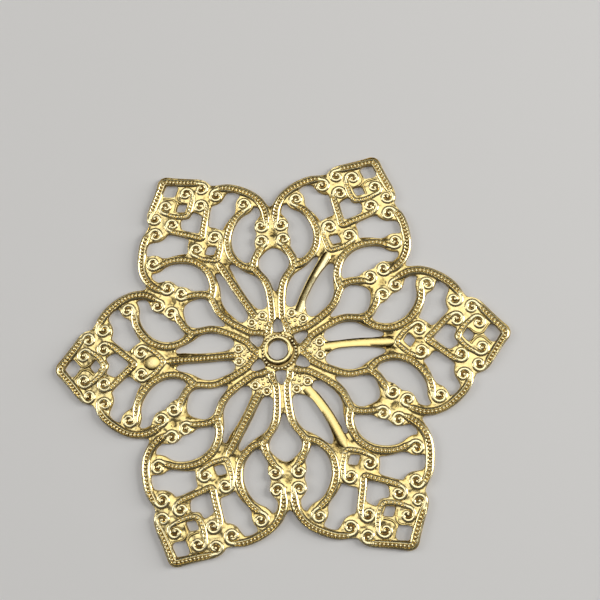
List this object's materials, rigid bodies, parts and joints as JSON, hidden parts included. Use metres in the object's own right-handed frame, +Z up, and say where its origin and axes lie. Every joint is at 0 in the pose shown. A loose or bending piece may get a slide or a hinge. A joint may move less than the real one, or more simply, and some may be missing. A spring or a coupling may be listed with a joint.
{
  "type": "filigree flower finding",
  "caption": "Flat pierced filigree flower for jewellery, a round hole in its middle and a small diamond hole at each petal tip for jump rings.",
  "frame": {"origin": "middle of the petal pattern, on the flat underside", "axes": "+X towards the tip of one petal, +Z up out of the raised face"},
  "size_m": [0.0602, 0.0524, 0.0009],
  "materials": {
    "gold_plate": "bright gold plate over stamped brass"
  },
  "bodies": {
    "root": {"filigree_flower": "gold_plate"}
  },
  "joints": []
}
